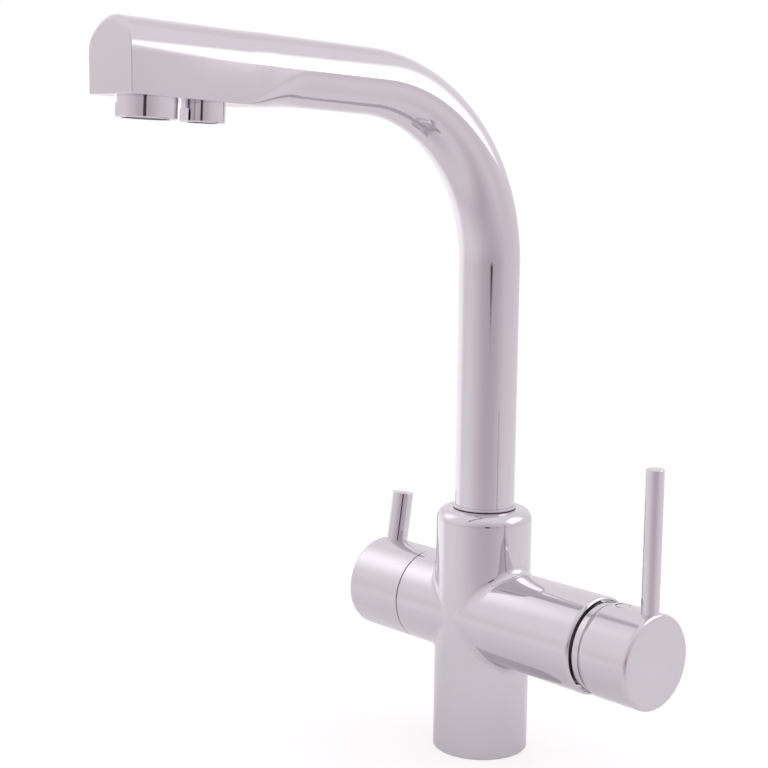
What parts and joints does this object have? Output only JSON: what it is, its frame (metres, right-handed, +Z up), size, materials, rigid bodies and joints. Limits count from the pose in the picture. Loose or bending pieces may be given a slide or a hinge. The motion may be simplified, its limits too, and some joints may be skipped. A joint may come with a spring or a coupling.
{
  "type": "three way kitchen tap",
  "caption": "Deck mounted kitchen tap with a swivel spout, a side lever mixer for hot and cold water and a separate filtered water valve and outlet.",
  "frame": {"origin": "centre of the column's foot, on the face that sits on the worktop", "axes": "+Z up along the column; +X along the cross axis towards the mixer handle; -Y the way the spout points"},
  "size_m": [0.1772, 0.2265, 0.3326],
  "materials": {
    "chrome_body": "polished chrome on brass",
    "chrome_spout": "polished chrome on brass",
    "chrome_handle": "softly polished chrome",
    "chrome_lever": "polished chrome",
    "chrome_plug": "polished chrome",
    "chrome_outlet": "polished chrome",
    "brass": "machined",
    "steel": "machined",
    "ceramic": "lapped ceramic",
    "white_plastic": "moulded",
    "grey_plastic": "moulded",
    "dark_plastic": "moulded",
    "black_rubber": "moulded rubber"
  },
  "bodies": {
    "root": {"body_casting": "chrome_body", "base_gasket": "black_rubber", "mixer_cartridge_base": "white_plastic", "mixer_cartridge_seals": "black_rubber", "mixer_cartridge_housing": "white_plastic", "mixer_fixed_disc": "ceramic", "mixer_retaining_nut": "steel", "filter_valve_body": "brass", "filter_valve_ring": "black_rubber", "filter_valve_seal": "black_rubber", "filter_fixed_disc": "ceramic", "spout_keeper_screw": "steel", "filtered_spigot": "brass", "filtered_spigot_ring": "black_rubber"},
    "spout": {"spout_tube": "chrome_spout", "spout_foot": "chrome_spout", "spout_rings": "black_rubber", "spout_slide_ring": "dark_plastic", "spout_head": "chrome_spout", "filtered_tube": "white_plastic", "filtered_connector": "brass", "mixed_outlet_housing": "chrome_outlet", "mixed_outlet_washer": "black_rubber", "mixed_outlet_insert": "grey_plastic", "filtered_outlet_housing": "chrome_outlet", "filtered_outlet_washer": "black_rubber", "filtered_outlet_insert": "grey_plastic"},
    "turret": {"mixer_turret": "grey_plastic", "mixer_pivot_pin": "steel"},
    "mixer_disc": {"mixer_moving_disc": "ceramic", "mixer_disc_carrier": "grey_plastic"},
    "mixer": {"mixer_stem": "brass", "mixer_handle": "chrome_handle", "mixer_lever": "chrome_lever", "mixer_handle_screw": "steel", "mixer_index_plug": "chrome_plug"},
    "filter": {"filter_spindle": "brass", "filter_moving_disc": "ceramic", "filter_handle": "chrome_handle", "filter_lever": "chrome_lever", "filter_handle_screw": "steel"}
  },
  "joints": [
    {"name": "spout_swivel", "type": "hinge", "parent": "root", "child": "spout", "pos_m": [0, 0, 0.117], "axis": [0, 0, 1], "continuous": true},
    {"name": "mixer_temperature", "type": "hinge", "parent": "root", "child": "turret", "pos_m": [0.077, 0, 0.0665], "axis": [1, 0, 0], "range_deg": [-45, 45]},
    {"name": "mixer_flow", "type": "hinge", "parent": "turret", "child": "mixer", "pos_m": [0.077, 0, 0.0665], "axis": [0, 1, 0], "range_deg": [0, 15]},
    {"name": "mixer_disc_slide", "type": "slide", "parent": "turret", "child": "mixer_disc", "axis": [0, 0, 1], "range_m": [0, 0.00408]},
    {"name": "filter_turn", "type": "hinge", "parent": "root", "child": "filter", "pos_m": [-0.0365, 0, 0.0665], "axis": [1, 0, 0], "range_deg": [0, 90]}
  ],
  "couplings": [
    {"joint": "mixer_disc_slide", "follows": "mixer_flow", "m_per_rad": 0.015555}
  ]
}
